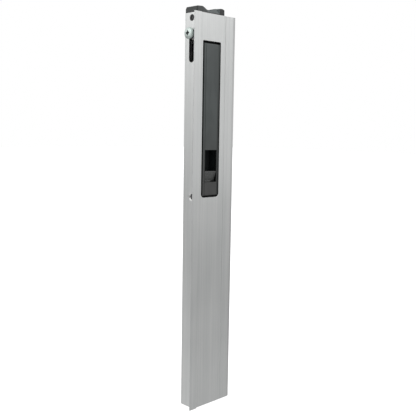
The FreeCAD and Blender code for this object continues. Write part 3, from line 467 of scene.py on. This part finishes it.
# ---------------------------------------------------------------- camera
# The camera's own axes and place in the world, to the front left of the bar
CAMERA_RIGHT = (0.712818, -0.701168, 0.015946)
CAMERA_UP = (0.070103, 0.093853, 0.993115)
CAMERA_BACK = (-0.697836, -0.706792, 0.116054)
CAMERA_AT = (-0.361330, -0.364281, 0.218124)

lens = bpy.data.cameras.new("camera")
lens.sensor_fit = "HORIZONTAL"
lens.sensor_width = 36.0
lens.lens = 57.68
lens.clip_start, lens.clip_end = 0.02, 20.0
camera = bpy.data.objects.new("camera", lens)
scene.collection.objects.link(camera)
turn = Matrix((CAMERA_RIGHT, CAMERA_UP, CAMERA_BACK)).transposed().to_4x4()
camera.matrix_world = Matrix.Translation(CAMERA_AT) @ turn
scene.camera = camera


# ---------------------------------------------------------------- floor
def floor_white():
    """Softly glowing white from above, clear from below."""
    g = material_graph("floor_white")
    below = g.node("ShaderNodeNewGeometry").outputs["Backfacing"]
    white = g.node("ShaderNodeBsdfDiffuse", {"Color": (0.9, 0.9, 0.9)})
    glow = g.node("ShaderNodeEmission", {"Color": (1, 1, 1), "Strength": 0.62})
    both = g.node("ShaderNodeAddShader", {0: white.outputs[0], 1: glow.outputs[0]})
    clear = g.node("ShaderNodeBsdfTransparent")
    g.output(g.node("ShaderNodeMixShader",
                    {0: below, 1: both.outputs[0], 2: clear.outputs[0]}).outputs[0])
    return g.owner


bm = bmesh.new()
bmesh.ops.create_grid(bm, x_segments=1, y_segments=1, size=6.0)
mesh = bpy.data.meshes.new("studio_floor")
bm.to_mesh(mesh)
bm.free()
floor = bpy.data.objects.new("studio_floor", mesh)
floor.location.z = -0.0003      # just under the bar's end
scene.collection.objects.link(floor)
# It shows to the camera only: the bar's underside and sides reflect the world's lower half.
floor.visible_diffuse = False
floor.visible_glossy = False
floor.visible_shadow = False
floor.visible_transmission = False
mesh.materials.append(floor_white())

# ---------------------------------------------------------------- world
# Room brightness by height: ((sin elevation + 1) / 2, brightness).
# The front faces mirror the room's right front, the left wall mirrors its left back.
ROOM_FRONT = [(0.0, 0.68), (0.28, 0.64), (0.36, 0.36), (0.43, 0.54), (0.50, 1.06), (0.59, 0.62),
              (0.70, 0.58), (0.82, 2.15), (1.0, 1.0)]
ROOM_SIDE = [(0.0, 0.97), (0.28, 0.89), (0.38, 0.42), (0.46, 0.33), (0.54, 0.56), (0.62, 1.62),
             (1.0, 1.42)]


def light_room(world):
    """A shaded room for the parts to mirror; plain white to the camera."""
    g = Graph(world)
    x, y, z = g.split(g.node("ShaderNodeTexCoord").outputs["Generated"])
    height = g.math("MULTIPLY_ADD", z, 0.5, 0.5)
    to_front = g.ramp(g.minus(x, y), lo=-0.5, hi=0.5)
    room = g.mix(to_front, g.curve(height, ROOM_SIDE, "B_SPLINE"),
                 g.curve(height, ROOM_FRONT, "B_SPLINE"))
    # the room's right side is darker, and so is the side the camera stands on
    right = g.add(g.times(x, 0.94), g.times(y, 0.34))
    near = g.math("MULTIPLY_ADD", g.add(x, y), -0.7071, 0.0)
    shade = g.times(g.ramp(right, lo=0.56, hi=0.92, out_lo=1.0, out_hi=0.35),
                    g.ramp(near, lo=0.80, hi=0.97, out_lo=1.0, out_hi=0.45))
    seen = g.node("ShaderNodeLightPath").outputs["Is Camera Ray"]
    lit = g.node("ShaderNodeBackground", {"Color": room, "Strength": g.times(shade, 0.86)})
    white = g.node("ShaderNodeBackground", {"Color": (1, 1, 1)})
    g.output(g.node("ShaderNodeMixShader",
                    {0: seen, 1: lit.outputs[0], 2: white.outputs[0]}).outputs[0],
             kind="ShaderNodeOutputWorld")


scene.world = bpy.data.worlds.new("studio")
light_room(scene.world)


# ---------------------------------------------------------------- lamps
def softbox(name, at, aim, watts, size=0.6):
    light = bpy.data.lights.new(name, "AREA")
    light.shape = "RECTANGLE"
    light.size = light.size_y = size
    light.energy = watts
    lamp = bpy.data.objects.new(name, light)
    scene.collection.objects.link(lamp)
    lamp.location = at
    lamp.rotation_mode = "QUATERNION"
    lamp.rotation_quaternion = (Vector(aim) - Vector(at)).to_track_quat("-Z", "Y")


softbox("key", at=(0.55, -0.75, 0.80), aim=(0.0, 0.0, 0.22), watts=2.0)
softbox("fill_left", at=(-0.95, 0.35, 0.55), aim=(0.0, 0.0, 0.2), watts=1.5)

view = scene.view_settings
view.view_transform = "Standard"
view.look = "None"
view.exposure = 0.0
view.gamma = 1.0
